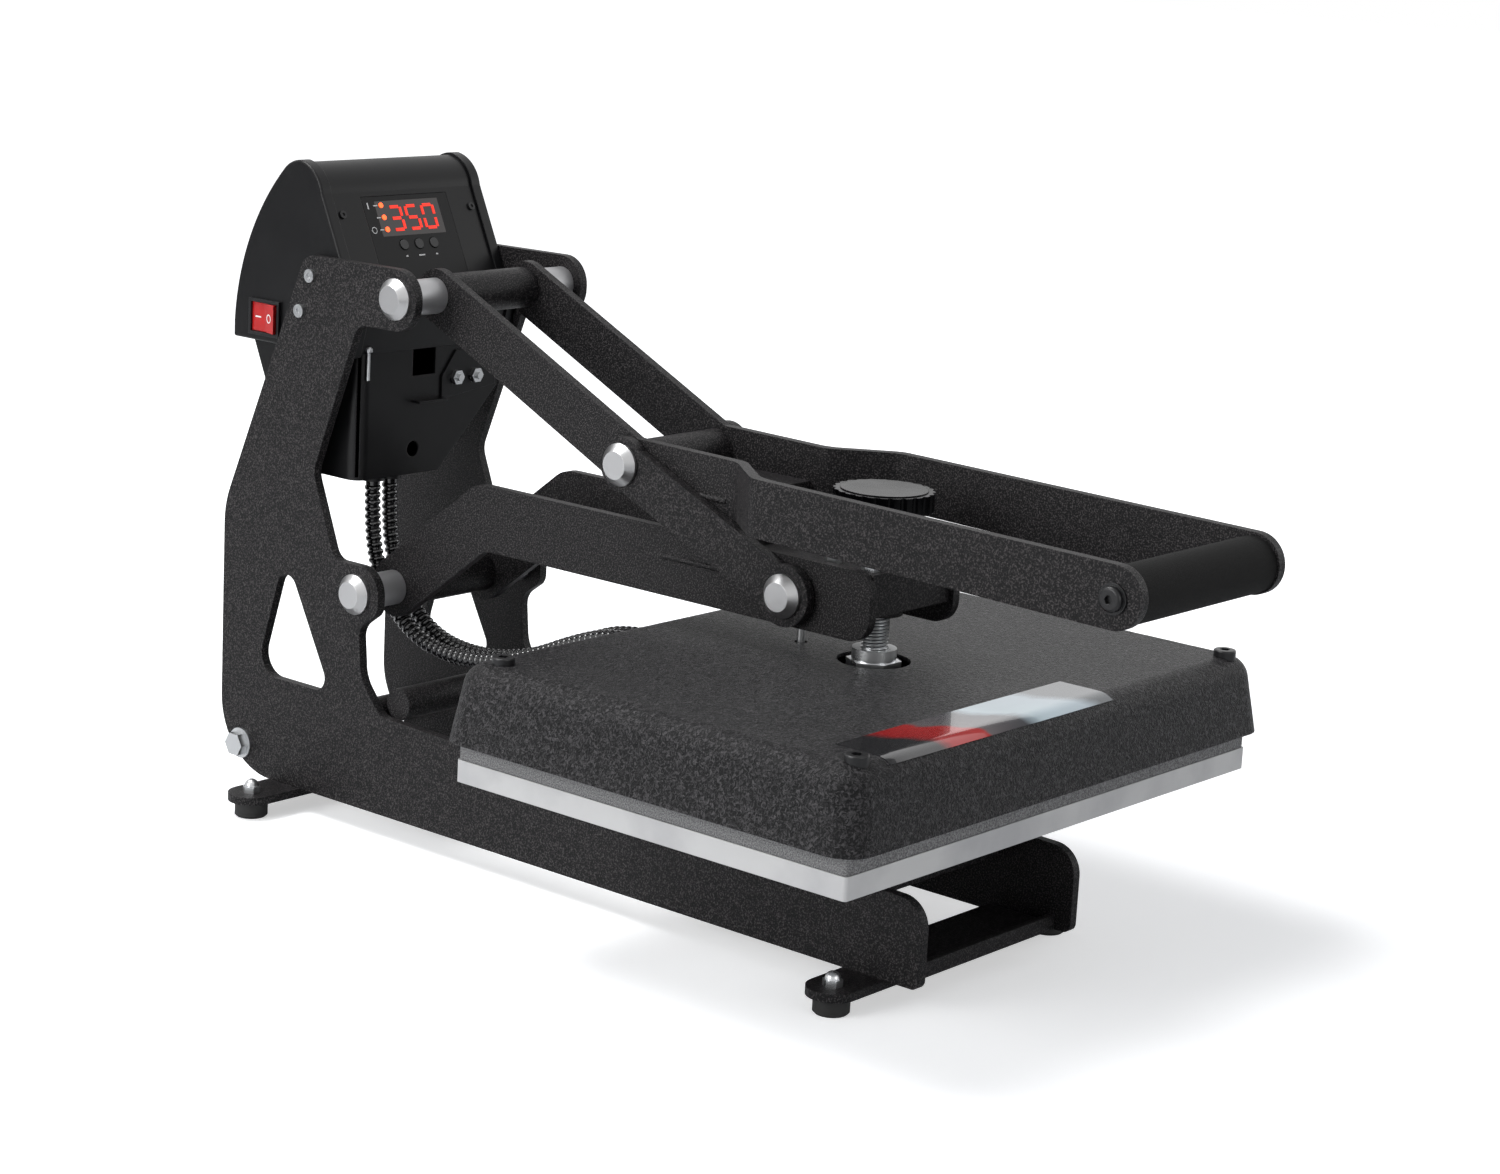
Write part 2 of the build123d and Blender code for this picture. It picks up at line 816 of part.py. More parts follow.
def cover_hollow():
    inner_edge = cover_edge_round - cover_wall
    inner_corner = cover_corner_round - cover_wall
    return cover_body(cover_wall, cover_height - cover_wall, inner_edge, inner_corner)


def heater_cover():
    cover = cover_solid() - cover_hollow()
    cover -= z_rod(0, screw_y, cover_hole, head_base() + 20, head_base() + cover_height + 9)
    cover -= z_rod(0, guide_pin_y, guide_pin_radius + 1.5, head_base() + 20, head_base() + cover_height + 9)
    return cover - hose_slot()


def cover_screw(x, y):
    top = head_base() + cover_height + cover_screw_rise
    head = z_rod(x, y, cover_screw_head, top - 12, top)
    head = fillet(head.edges().sort_by(Axis.Z)[-1], 1.0)
    head -= Pos(x, y, top - 2.4) * extrude(RegularPolygon(cover_screw_key, 6), amount=5)
    return head - cover_solid()


def cover_post(x, y):
    """A pillar under one corner screw, from the heat platen's insulation up to the cover."""
    low = head_base() + heat_platen_thick + insulation_thick
    return z_rod(x, y, cover_post_radius, low, low + cover_height) & cover_hollow()


def adjuster_collar():
    """Boss on the heat platen, hexagon nut and round collar that hold the screw's foot."""
    low = head_base() + heat_platen_thick + insulation_thick
    nut_low = low + boss_height
    collar_low = nut_low + nut_height
    boss = z_rod(0, screw_y, boss_radius, low, nut_low)
    nut = Pos(0, screw_y, nut_low) * extrude(RegularPolygon(nut_across / 2, 6, major_radius=False), amount=nut_height)
    collar = z_rod(0, screw_y, collar_radius, collar_low, collar_low + collar_height)
    hole = z_rod(0, screw_y, screw_radius + screw_clearance, low + 2, collar_low + collar_height + 1)
    return boss + nut + collar - hole


def guide_pin():
    low = head_base() + heat_platen_thick + insulation_thick
    pin = z_rod(0, guide_pin_y, guide_pin_radius, low, guide_pin_top)
    return pin + z_rod(0, guide_pin_y, guide_pin_radius + 3, low, low + 6)


# Pressure screw

def adjuster_screw():
    low = head_base() + heat_platen_thick + insulation_thick + 2 + screw_clearance
    return z_rod(0, screw_y, screw_radius, low, screw_top)


def pressure_knob():
    """A scalloped hand wheel with a shallow dished top."""
    shape = Circle(knob_radius)
    groove = Circle(2.2)
    for turn in range(knob_lobes):
        angle = math.radians(360 / knob_lobes * turn)
        reach = knob_radius + 0.9
        shape -= Pos(reach * math.cos(angle), reach * math.sin(angle)) * groove
    rim_low = knob_base + knob_height * 0.35
    top = knob_base + knob_height
    knob = Pos(0, screw_y, rim_low) * extrude(shape, amount=top - rim_low)
    knob += z_rod(0, screw_y, knob_radius * 0.62, knob_base, rim_low)
    knob -= z_rod(0, screw_y, knob_disc_radius, top - 1.2, top + 1)
    return knob - z_rod(0, screw_y, screw_radius, knob_base - 1, screw_top)


def knob_disc():
    top = knob_base + knob_height
    return z_rod(0, screw_y, knob_disc_radius, top - 1.2, top + 0.6)


# Handle

def unit(start, end):
    length = math.hypot(end[0] - start[0], end[1] - start[1])
    return ((end[0] - start[0]) / length, (end[1] - start[1]) / length)


def handle_face():
    """Side view of a handle plate: sloping bar from the top pivot, then the long level bar."""
    back = unit(knee_pivot, top_pivot)
    up = (-back[1], back[0])
    r = bar_half
    end_high = (top_pivot[0] + r * (back[0] + up[0]), top_pivot[1] + r * (back[1] + up[1]))
    end_low = (top_pivot[0] + r * (back[0] - up[0]), top_pivot[1] + r * (back[1] - up[1]))
    slope = back[1] / back[0]
    bend_y = end_high[0] - (end_high[1] - handle_top_rear) / slope
    under_y = end_low[0] - (end_low[1] - handle_under_rear) / slope
    corners = [
        (end_low[0], end_low[1], r - 0.01),
        (end_high[0], end_high[1], r - 0.01),
        (bend_y, handle_top_rear, 5),
        (grip_tip, handle_top_front, grip_end_radius - 0.2),
        (grip_tip, handle_top_front - 2 * grip_end_radius, grip_end_radius - 0.2),
        (under_y, handle_under_rear, 30),
    ]
    return outline(corners)


def handle_plan():
    """Plan view of a handle plate: it steps outwards ahead of the knee."""
    rear = top_pivot[0] + 60
    front = grip_tip - 20
    t = bar_thick
    near = [(bar_inner, rear, 0), (bar_inner, jog_rear, 14), (grip_inner, jog_front, 20), (grip_inner, front, 0)]
    far = [(grip_inner + t, front, 0), (grip_inner + t, jog_front + 2.5, 14), (bar_inner + t, jog_rear + 2.5, 20),
           (bar_inner + t, rear, 0)]
    points = near + far
    line = FilletPolyline(*[(x, y) for x, y, r in points], radius=[r for x, y, r in points], close=True)
    return make_face(line)


def handle_plate():
    side = from_side(handle_face(), bar_inner - 10, grip_outer + 10)
    plan = Pos(0, 0, grip_height - 60) * extrude(handle_plan(), amount=240)
    plate = side & plan
    plate -= x_rod(top_pivot, axle_radius + running_fit, bar_inner - 1, bar_outer + 1)
    plate -= x_rod(knee_pivot, pin_radius, bar_inner - 1, bar_outer + 1)
    return plate


def handle_cross_plate():
    return block(-bar_inner, bar_inner, 218, 262, 251, 257)


def handle_tubes():
    rear = x_tube(top_pivot, tube_radius, axle_radius + running_fit, -bar_inner, bar_inner)
    knee = x_tube(knee_pivot, tube_radius, pin_radius, -bar_inner, bar_inner)
    return [rear, knee]


def grip_spot():
    return (grip_front, grip_height)


def grip():
    return x_rod(grip_spot(), grip_radius, -grip_inner, grip_inner)


def grip_bolt():
    """Button head with a hexagon socket, on a washer."""
    washer = x_rod(grip_spot(), 8.5, grip_outer, grip_outer + 1.2)
    head = x_rod(grip_spot(), 7, grip_outer + 1.2, grip_outer + 4.6)
    head = fillet(head.edges().sort_by(Axis.X)[-1], 2)
    plane = Plane(origin=(grip_outer + 2.4, grip_front, grip_height), x_dir=(0, 1, 0), z_dir=(1, 0, 0))
    return washer + head - extrude(plane * RegularPolygon(2.6, 6), amount=9)


def knee_pin():
    """Turned pin: its head is outside the link and its shank sits in the handle's knee tube."""
    seat = link_outer + side_play
    head = end_cap(knee_pivot, seat, 1)
    return head + x_rod(knee_pivot, pin_radius, bar_inner - 20, seat)


# Links

def link_face():
    """A bar with a round eye at each end."""
    along = unit(knee_pivot, front_pivot)
    length = math.dist(knee_pivot, front_pivot)
    angle = math.degrees(math.atan2(along[1], along[0]))
    bar = Pos(length / 2, 0) * Rectangle(length, 2 * link_half)
    rear_eye = Circle(bar_half)
    front_eye = Pos(length, 0) * Circle(link_front_radius)
    return Pos(*knee_pivot) * Rot(0, 0, angle) * (bar + rear_eye + front_eye)


def link():
    plate = from_side(link_face(), link_inner, link_outer)
    plate -= x_rod(knee_pivot, pin_radius + running_fit, link_inner - 1, link_outer + 1)
    return plate - x_rod(front_pivot, pin_radius, link_inner - 1, link_outer + 1)


def link_pin():
    """Pin at the front of a link; its shank ends flush with the link's inner face."""
    return end_cap(front_pivot, link_outer, 1) + x_rod(front_pivot, pin_radius, link_inner, link_outer)


def main():
    os.makedirs("parts", exist_ok=True)
    plate = side_plate()
    save([mirrored(plate)], "side_plate_left")
    save([plate], "side_plate_right")
    save([foot_bar(foot_front), foot_bar(foot_rear)], "foot_bars")
    save([rubber_foot(x, y) for x, y in foot_spots()], "rubber_feet")
    save([foot_fastener(x, y) for x, y in foot_spots()], "foot_bolts")
    save([front_cross_plate()], "front_cross_plate")
    save([tie_tube(spot) for spot in tie_spots], "tie_tubes")
    save(both_sides(tie_bolt(tie_spots[0])), "tie_bolts")
    save([platen_support(support_front), platen_support(support_rear)], "platen_supports")
    save([platen_layer(platen_base, platen_thick, 0, 2)], "lower_platen")
    save([platen_layer(platen_base + platen_thick, pad_thick, 0.5, 3)], "silicone_pad")

    pivots = (top_pivot, arm_pivot)
    save([axle(spot) for spot in pivots], "axles")
    save([end_cap(spot, plate_outer, side) for spot in pivots for side in (-1, 1)], "axle_caps")
    spacers = []
    for spot in pivots:
        spacers += both_sides(axle_spacer(spot))
    save(spacers, "axle_spacers")

    save([housing_shell()], "housing_shell")
    save([switch_cheek(), housing_cap()], "housing_cheeks")
    save([display_panel()], "display_panel")
    save([on_face(window_face(0.1), -window_deep, 0)], "display_window")
    save(display_digits(), "display_digits")
    save([indicator_lamp(down) for down in lamp_down], "indicator_lamps")
    for x, name in zip(button_x, ("button_down", "button_set", "button_up")):
        save([button(x)], name)
    save([controller_board()], "controller_board")
    save([panel_screw(-panel_screw_x), panel_screw(panel_screw_x)], "panel_screws")
    save([switch_bezel()], "switch_bezel")
    save([power_rocker()], "power_rocker")
    screws = []
    for spot in plate_screw_spots:
        screws += both_sides(plate_screw(spot))
    save(screws, "plate_screws")
    save([power_inlet()], "power_inlet")
    save([lower_box()], "lower_box")
    save([box_bracket()], "box_bracket")
    save([bracket_nut(22), bracket_nut(39)], "bracket_nuts")
    save([hose_gland(x) for x in hose_x], "hose_glands")
    save([heater_hose(hose_x[0])], "heater_hose_left")
    save([heater_hose(hose_x[1])], "heater_hose_right")

    arm = arm_plate()
    save([mirrored(arm)], "arm_plate_left")
    save([arm], "arm_plate_right")
    save([arm_gusset()], "arm_gusset")
    save(arm_tubes(), "arm_tubes")
    save([front_channel()], "front_channel")
    save([channel_nut(x, y) for x in (-28, 28) for y in (121, 148)], "channel_nuts")

    heat_low = head_base()
    insulation_low = heat_low + heat_platen_thick
    save([heater_cover()], "heater_cover")
    save([platen_layer(heat_low, heat_platen_thick, head_inset, heat_platen_corner)], "heat_platen")
    save([platen_layer(insulation_low, insulation_thick, insulation_inset, heat_platen_corner)], "insulation_board")
    screw_rows = (cover_screw_front, cover_screw_rear)
    screw_spots = [(x, y) for x in (-cover_screw_x, cover_screw_x) for y in screw_rows]
    save([cover_screw(x, y) for x, y in screw_spots], "cover_screws")
    save([cover_post(x, y) for x, y in screw_spots], "cover_posts")
    save([adjuster_collar()], "adjuster_collar")
    save([guide_pin()], "guide_pin")
    save([adjuster_screw()], "adjuster_screw")
    save([pressure_knob()], "pressure_knob")
    save([knob_disc()], "knob_disc")

    handle = handle_plate()
    save([mirrored(handle)], "handle_plate_left")
    save([handle], "handle_plate_right")
    save([handle_cross_plate()], "handle_cross_plate")
    save(handle_tubes(), "handle_tubes")
    save([grip()], "grip")
    save(both_sides(grip_bolt()), "grip_bolts")
    save(both_sides(knee_pin()), "knee_pins")
    save(both_sides(link()), "links")
    save(both_sides(link_pin()), "link_pins")


main()
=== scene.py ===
# %% [markdown]
# A clamshell heat press stands on a pale floor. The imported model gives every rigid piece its
# shape and place. Here those pieces get their real finishes, and the few shapes that a plain
# solid cannot show, such as the screw thread, the corrugated hoses and the weld beads, are
# modelled with bmesh operators. First the frame is loaded and its box is kept.

# %% Load the press
import math
import bmesh
import bpy
from mathutils import Matrix, Vector
from mathutils.bvhtree import BVHTree


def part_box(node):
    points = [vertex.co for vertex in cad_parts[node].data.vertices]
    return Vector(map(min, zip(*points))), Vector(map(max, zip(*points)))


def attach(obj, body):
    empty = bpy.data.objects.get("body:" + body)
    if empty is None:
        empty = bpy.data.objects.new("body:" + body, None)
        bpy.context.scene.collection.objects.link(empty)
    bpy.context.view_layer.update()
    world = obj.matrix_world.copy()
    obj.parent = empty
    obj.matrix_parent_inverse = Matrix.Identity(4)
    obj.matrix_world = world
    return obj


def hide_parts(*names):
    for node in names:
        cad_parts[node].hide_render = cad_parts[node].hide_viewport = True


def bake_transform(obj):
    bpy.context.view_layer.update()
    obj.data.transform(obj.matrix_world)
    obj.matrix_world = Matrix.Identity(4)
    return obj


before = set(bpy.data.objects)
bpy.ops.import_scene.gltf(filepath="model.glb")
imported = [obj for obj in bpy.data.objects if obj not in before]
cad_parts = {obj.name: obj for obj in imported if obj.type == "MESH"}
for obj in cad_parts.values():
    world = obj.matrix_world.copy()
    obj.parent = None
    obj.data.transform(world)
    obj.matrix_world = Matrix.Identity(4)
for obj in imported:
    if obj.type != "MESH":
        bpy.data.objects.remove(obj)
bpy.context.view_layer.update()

mm = 0.001
front_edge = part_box("lower_platen")[0][1]


def at(x, y, z):
    """Millimetres with Y counted from the lower platen's front edge, as a place in the frame."""
    return Vector((x * mm, front_edge + y * mm, z * mm))


# %% [markdown]
# The camera stands in front of the press, to its left and a little above the handle. The view
# is long and narrow, as a product photographer's lens gives, so the platens keep nearly
# parallel edges. Yaw, pitch and roll turn it from looking along +Y.

# %% Camera
yaw = math.radians(50.483)
pitch = math.radians(12.853)
roll = math.radians(3.100)
image_width = 1500
focal_pixels = 3213.27
sensor = 36.0

look = Vector((math.sin(yaw) * math.cos(pitch), math.cos(yaw) * math.cos(pitch), -math.sin(pitch)))
level_right = Vector((math.cos(yaw), -math.sin(yaw), 0))
level_up = level_right.cross(look)
right = level_right * math.cos(roll) + level_up * math.sin(roll)
up = level_up * math.cos(roll) - level_right * math.sin(roll)

camera_data = bpy.data.cameras.new("camera")
camera_data.sensor_fit = "HORIZONTAL"
camera_data.sensor_width = sensor
camera_data.lens = focal_pixels / image_width * sensor
camera_data.clip_end = 30
camera = bpy.data.objects.new("camera", camera_data)
turn = Matrix((right, up, -look)).transposed().to_4x4()
camera.matrix_world = Matrix.Translation(at(-1424.8, -944.6, 616.6)) @ turn
bpy.context.scene.collection.objects.link(camera)
bpy.context.scene.camera = camera
print("lens", round(camera_data.lens, 1), "mm")


# %% [markdown]
# Soft studio light has no hard edge anywhere. Wide area lamps do this: one above and behind
# draws the bright band along the tops, one on the left fills the near plates, and a weak one
# on the right keeps the far side readable. The world is white for the camera and for sharp
# reflections, and a dim grey for the light that it gives, so the black paint stays black.

# %% Light, floor and world
def area_lamp(name, place, target, size, power):
    """A square soft box that faces its target."""
    data = bpy.data.lights.new(name, "AREA")
    data.shape = "SQUARE"
    data.size = size
    data.energy = power
    lamp = bpy.data.objects.new(name, data)
    aim = (Vector(target) - Vector(place)).to_track_quat("-Z", "Y")
    lamp.matrix_world = Matrix.Translation(place) @ aim.to_matrix().to_4x4()
    bpy.context.scene.collection.objects.link(lamp)


area_lamp("top_box", (-0.6, 0.7, 1.8), (0, 0, 0.15), 0.9, 30)
area_lamp("left_box", (-2.1, 0.5, 0.9), (0, 0, 0.2), 1.2, 26)
area_lamp("front_box", (-0.3, -2.2, 0.8), (0, 0, 0.15), 0.8, 7)
area_lamp("right_box", (1.9, -0.8, 0.8), (0, 0, 0.15), 0.8, 4)

world = bpy.data.worlds.new("studio")
world.use_nodes = True
bpy.context.scene.world = world
sky = world.node_tree
sky_out = sky.nodes["World Output"]
grey = sky.nodes["Background"]
grey.inputs["Color"].default_value = (0.9, 0.93, 1.0, 1)
grey.inputs["Strength"].default_value = 0.22
white = sky.nodes.new("ShaderNodeBackground")
white.inputs["Color"].default_value = (1, 1, 1, 1)
ray = sky.nodes.new("ShaderNodeLightPath")
seen = sky.nodes.new("ShaderNodeMath")
seen.operation = "MAXIMUM"
pick = sky.nodes.new("ShaderNodeMixShader")
mirrored = sky.nodes.new("ShaderNodeMath")
mirrored.operation = "MAXIMUM"
sky.links.new(ray.outputs["Is Camera Ray"], seen.inputs[0])
sky.links.new(ray.outputs["Is Transmission Ray"], seen.inputs[1])
sky.links.new(seen.outputs[0], mirrored.inputs[0])
sky.links.new(ray.outputs["Is Glossy Ray"], mirrored.inputs[1])
sky.links.new(mirrored.outputs[0], pick.inputs[0])
sky.links.new(grey.outputs[0], pick.inputs[1])
sky.links.new(white.outputs[0], pick.inputs[2])
sky.links.new(pick.outputs[0], sky_out.inputs["Surface"])

floor_mesh = bmesh.new()
bmesh.ops.create_grid(floor_mesh, x_segments=1, y_segments=1, size=12)
floor_data = bpy.data.meshes.new("floor")
floor_mesh.to_mesh(floor_data)
floor_mesh.free()
floor = bpy.data.objects.new("floor", floor_data)
bpy.context.scene.collection.objects.link(floor)

floor_paint = bpy.data.materials.new("floor_paint")
floor_paint.use_nodes = True
tree = floor_paint.node_tree
matt = tree.nodes.new("ShaderNodeBsdfDiffuse")
matt.inputs["Color"].default_value = (0.86, 0.87, 0.88, 1)
lift = tree.nodes.new("ShaderNodeEmission")
floor_ray = tree.nodes.new("ShaderNodeLightPath")
floor_place = tree.nodes.new("ShaderNodeTexCoord")
floor_reach = tree.nodes.new("ShaderNodeVectorMath")
floor_reach.operation = "LENGTH"
floor_fade = tree.nodes.new("ShaderNodeMapRange")
floor_fade.inputs["From Min"].default_value = 0.35
floor_fade.inputs["From Max"].default_value = 1.4
floor_fade.inputs["To Min"].default_value = 0.5
floor_fade.inputs["To Max"].default_value = 1.0
floor_level = tree.nodes.new("ShaderNodeMath")
floor_level.operation = "MULTIPLY"
both = tree.nodes.new("ShaderNodeAddShader")
tree.links.new(floor_place.outputs["Object"], floor_reach.inputs[0])
tree.links.new(floor_reach.outputs["Value"], floor_fade.inputs["Value"])
tree.links.new(floor_ray.outputs["Is Camera Ray"], floor_level.inputs[0])
tree.links.new(floor_fade.outputs["Result"], floor_level.inputs[1])
tree.links.new(floor_level.outputs[0], lift.inputs["Strength"])
tree.links.new(matt.outputs[0], both.inputs[0])
tree.links.new(lift.outputs[0], both.inputs[1])
tree.links.new(both.outputs[0], tree.nodes["Material Output"].inputs["Surface"])
floor_data.materials.append(floor_paint)
bpy.context.scene.view_settings.view_transform = "Standard"
print("lamps", len(bpy.data.lights))


# %% [markdown]
# Every finish starts alike: a Principled shader whose pattern reads Object coordinates, in
# metres, so that a noise scale of 1000 gives grains of about a millimetre. A helper makes the
# shader, a second adds two-tone grain to its colour, and a third adds bump. The Bevel node
# rounds the look of sharp plate edges, because a real cut edge always catches some light.

# %% Material helpers
def finish(name, color, roughness, metallic=0.0, **sockets):
    """A material with one Principled shader. Uniform numbers go on the shader itself."""
    material = bpy.data.materials.new(name)
    material.use_nodes = True
    shader = material.node_tree.nodes["Principled BSDF"]
    shader.inputs["Base Color"].default_value = (*color, 1)
    shader.inputs["Roughness"].default_value = roughness
    shader.inputs["Metallic"].default_value = metallic
    for socket, value in sockets.items():
        shader.inputs[socket.replace("_", " ")].default_value = value
    return material


def noise(material, scale, detail=2.0, stretch=(1, 1, 1), distortion=0.0):
    """Noise on Object coordinates, stretched along the axes."""
    nodes = material.node_tree.nodes
    links = material.node_tree.links
    place = nodes.new("ShaderNodeTexCoord")
    mapping = nodes.new("ShaderNodeMapping")
    mapping.inputs["Scale"].default_value = stretch
    texture = nodes.new("ShaderNodeTexNoise")
    texture.inputs["Scale"].default_value = scale
    texture.inputs["Detail"].default_value = detail
    texture.inputs["Distortion"].default_value = distortion
    links.new(place.outputs["Object"], mapping.inputs["Vector"])
    links.new(mapping.outputs["Vector"], texture.inputs["Vector"])
    return texture.outputs["Fac"]


def grain(material, source, dark, light, low=0.4, high=0.65):
    """Colour that runs from dark to light with a noise output."""
    nodes = material.node_tree.nodes
    ramp = nodes.new("ShaderNodeValToRGB")
    ramp.color_ramp.elements[0].position = low
    ramp.color_ramp.elements[1].position = high
    ramp.color_ramp.elements[0].color = (*dark, 1)
    ramp.color_ramp.elements[1].color = (*light, 1)
    material.node_tree.links.new(source, ramp.inputs["Fac"])
    material.node_tree.links.new(ramp.outputs["Color"], nodes["Principled BSDF"].inputs["Base Color"])
    return ramp


def polish(material, source, low, high):
    """Roughness that varies with a noise output."""
    nodes = material.node_tree.nodes
    scale = nodes.new("ShaderNodeMapRange")
    scale.inputs["To Min"].default_value = low
    scale.inputs["To Max"].default_value = high
    material.node_tree.links.new(source, scale.inputs["Value"])
    material.node_tree.links.new(scale.outputs["Result"], nodes["Principled BSDF"].inputs["Roughness"])


def relief(material, source, strength, depth, edge=0.0):
    """Bump from a noise output, over edges softened by a Bevel node."""
    nodes = material.node_tree.nodes
    links = material.node_tree.links
    bump = nodes.new("ShaderNodeBump")
    bump.inputs["Strength"].default_value = strength
    bump.inputs["Distance"].default_value = depth
    links.new(source, bump.inputs["Height"])
    if edge:
        soft = nodes.new("ShaderNodeBevel")
        soft.samples = 4
        soft.inputs["Radius"].default_value = edge
        links.new(soft.outputs["Normal"], bump.inputs["Normal"])
    links.new(bump.outputs["Normal"], nodes["Principled BSDF"].inputs["Normal"])


# %% [markdown]
# The plates carry a textured powder coat: a near-black skin with a fine pebble and pale specks
# where the pebbles catch the light. The heater's hood wears the same paint with coarser wrinkles.

# %% Powder coats
powder = finish("powder_coat", (0.01, 0.01, 0.011), 0.5, Specular_IOR_Level=0.2)
specks = noise(powder, 1050, 2.5)
grain(powder, specks, (0.001, 0.001, 0.0015), (0.056, 0.051, 0.052), 0.49, 0.68)
relief(powder, specks, 0.6, 0.0005, 0.0007)

wrinkle = finish("wrinkle_coat", (0.01, 0.01, 0.011), 0.42, Specular_IOR_Level=0.16)
folds = noise(wrinkle, 520, 3.0, distortion=1.2)
grain(wrinkle, folds, (0.002, 0.002, 0.0025), (0.07, 0.067, 0.07), 0.46, 0.69)
relief(wrinkle, folds, 1.0, 0.0014)
print("powder coats made")

# %% [markdown]
# The control housing is smooth satin paint over sheet and moulded cheeks. A little roughness
# variation keeps the broad highlight from looking like plastic film.

# %% Satin black, moulded black and rubber
satin = finish("satin_black", (0.0025, 0.0025, 0.003), 0.33, Specular_IOR_Level=0.25)
haze = noise(satin, 40, 4.0)
polish(satin, haze, 0.28, 0.42)
relief(satin, noise(satin, 900, 2.0), 0.06, 0.0002, 0.0008)

moulded = finish("moulded_black", (0.005, 0.005, 0.006), 0.36, Specular_IOR_Level=0.35)
relief(moulded, noise(moulded, 1500, 2.0), 0.12, 0.0002, 0.0006)

glossy = finish("glossy_black", (0.0015, 0.0015, 0.002), 0.22, Specular_IOR_Level=0.1)
polish(glossy, noise(glossy, 60, 3.0), 0.16, 0.28)
relief(glossy, noise(glossy, 1200, 1.0), 0.04, 0.0001, 0.0006)

foam = finish("grip_foam", (0.004, 0.004, 0.004), 0.8, Specular_IOR_Level=0.15)
cells = noise(foam, 1600, 3.0)
grain(foam, cells, (0.002, 0.002, 0.002), (0.008, 0.008, 0.008))
relief(foam, cells, 0.5, 0.0004)

rubber = finish("foot_rubber", (0.008, 0.008, 0.008), 0.65)
relief(rubber, noise(rubber, 700, 2.0), 0.2, 0.0003, 0.0008)

black_oxide = finish("black_oxide", (0.012, 0.012, 0.013), 0.35, 0.4)
relief(black_oxide, noise(black_oxide, 2500, 2.0), 0.1, 0.0001, 0.0003)

# %% [markdown]
# Bright parts are of three kinds: turned and plated fasteners, the duller bead-blasted sleeves,
# and the raw sawn edge of the platens with its upright saw marks and faint stains.

# %% Metals
zinc = finish("bright_zinc", (0.56, 0.57, 0.58), 0.28, 1.0)
polish(zinc, noise(zinc, 90, 3.0), 0.24, 0.34)

sleeve = finish("satin_sleeve", (0.42, 0.42, 0.43), 0.45, 0.85)
relief(sleeve, noise(sleeve, 2500, 3.0), 0.25, 0.0002, 0.0004)

turned = finish("turned_cap", (0.46, 0.46, 0.465), 0.34, 1.0)
relief(turned, noise(turned, 900, 2.0, (0.2, 1, 1)), 0.15, 0.0001, 0.0003)

plated = finish("plated_thread", (0.62, 0.63, 0.64), 0.3, 1.0)
polish(plated, noise(plated, 120, 2.0), 0.24, 0.36)

# Dark metal for the thread's core: painted shade for the grooves between the ridges, not a finish of its own.
root_shade_paint = finish("thread_root_painted_shade", (0.03, 0.03, 0.034), 0.5, 0.6)
polish(root_shade_paint, noise(root_shade_paint, 200, 2.0), 0.45, 0.6)

sawn = finish("sawn_aluminium", (0.5, 0.5, 0.5), 0.5, 0.5)
stain = noise(sawn, 22, 8.0)
grain(sawn, stain, (0.42, 0.42, 0.43), (0.54, 0.54, 0.54), 0.32, 0.6)
relief(sawn, noise(sawn, 500, 3.0, (3, 3, 0.05)), 0.12, 0.0001, 0.0004)

sponge = finish("silicone_sponge", (0.12, 0.12, 0.122), 0.85)
dots = noise(sponge, 1300, 2.0)
grain(sponge, dots, (0.08, 0.08, 0.082), (0.26, 0.26, 0.262), 0.35, 0.66)
relief(sponge, dots, 0.4, 0.0003, 0.001)
print("metals and sponge made")

# %% [markdown]
# The display is a dark window over lit segments. The segments glow through their own emission,
# a little towards orange, as they look when a camera exposes for the black housing. The film
# round them is a matt print, and the keys are black rubber domes.

# %% Display, keys and rocker
lit = finish("lit_segments", (0.6, 0.02, 0.01), 0.4, Emission_Color=(1.0, 0.03, 0.01, 1), Emission_Strength=0.9)
grain(lit, noise(lit, 900, 1.0), (0.5, 0.015, 0.01), (0.7, 0.03, 0.01))
lamp_lit = finish("lit_lamp", (0.8, 0.1, 0.02), 0.3, Emission_Color=(1.0, 0.09, 0.02, 1), Emission_Strength=2.6)
grain(lamp_lit, noise(lamp_lit, 900, 1.0), (0.7, 0.08, 0.02), (0.9, 0.12, 0.03))

window = finish("display_window", (0.01, 0.003, 0.003), 0.12, Coat_Weight=0.6)
polish(window, noise(window, 200, 2.0), 0.08, 0.18)

film = finish("panel_film", (0.003, 0.003, 0.0035), 0.4, Specular_IOR_Level=0.2)
relief(film, noise(film, 2200, 2.0), 0.15, 0.0001, 0.0003)

key_rubber = finish("key_rubber", (0.012, 0.012, 0.013), 0.5)
relief(key_rubber, noise(key_rubber, 2000, 2.0), 0.15, 0.0001, 0.0005)

rocker_red = finish("rocker_red", (0.42, 0.008, 0.008), 0.22, Coat_Weight=0.4)
polish(rocker_red, noise(rocker_red, 300, 3.0), 0.18, 0.3)
relief(rocker_red, noise(rocker_red, 1200, 1.0), 0.04, 0.0001, 0.0006)

white_print = finish("white_print", (0.75, 0.75, 0.75), 0.5)
relief(white_print, noise(white_print, 2500, 2.0), 0.1, 0.00005)

board_green = finish("circuit_board", (0.03, 0.12, 0.05), 0.4)
grain(board_green, noise(board_green, 400, 2.0), (0.02, 0.09, 0.035), (0.05, 0.2, 0.08))

mineral = finish("mineral_board", (0.5, 0.48, 0.42), 0.9)
grain(mineral, noise(mineral, 500, 4.0), (0.4, 0.38, 0.33), (0.6, 0.58, 0.5))

conduit = finish("conduit_black", (0.006, 0.006, 0.007), 0.22, Coat_Weight=0.8)
polish(conduit, noise(conduit, 400, 3.0), 0.1, 0.2)

steel = finish("machined_steel", (0.55, 0.55, 0.56), 0.3, 1.0)
relief(steel, noise(steel, 1200, 2.0, (1, 1, 6)), 0.15, 0.0001, 0.0003)

